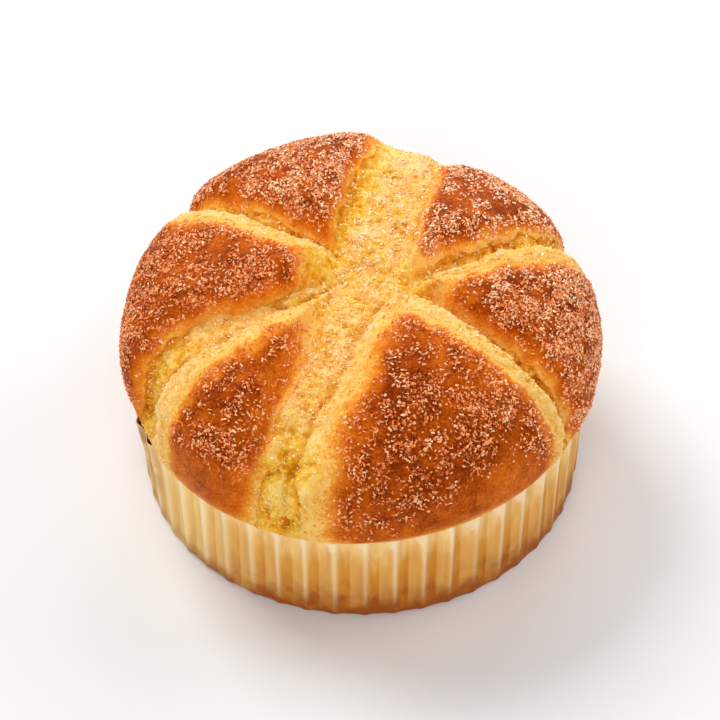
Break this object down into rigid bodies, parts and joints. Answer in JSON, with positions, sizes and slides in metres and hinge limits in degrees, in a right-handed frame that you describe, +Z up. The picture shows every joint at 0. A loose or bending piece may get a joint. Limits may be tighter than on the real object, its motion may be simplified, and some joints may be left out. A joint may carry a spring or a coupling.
{
  "type": "milk bun",
  "caption": "Round sweet milk bun with browned lobes between radial cuts, sugared on top, in its fluted paper baking case.",
  "frame": {"origin": "middle of the paper case's flat underside, on the surface that the bun stands on", "axes": "+Z up, -Y towards the front that shows the widest cut, +X to the right as seen from the front"},
  "size_m": [0.0956, 0.0985, 0.0564],
  "materials": {
    "crust": "baked crust, orange-brown on the lobes and pale yellow crumb in the cuts, sprinkled with sugar",
    "baking_paper": "matte fluted baking paper, cream on the ridges and tan in the valleys"
  },
  "bodies": {
    "root": {"bun": "crust", "paper_case": "baking_paper"}
  },
  "joints": []
}
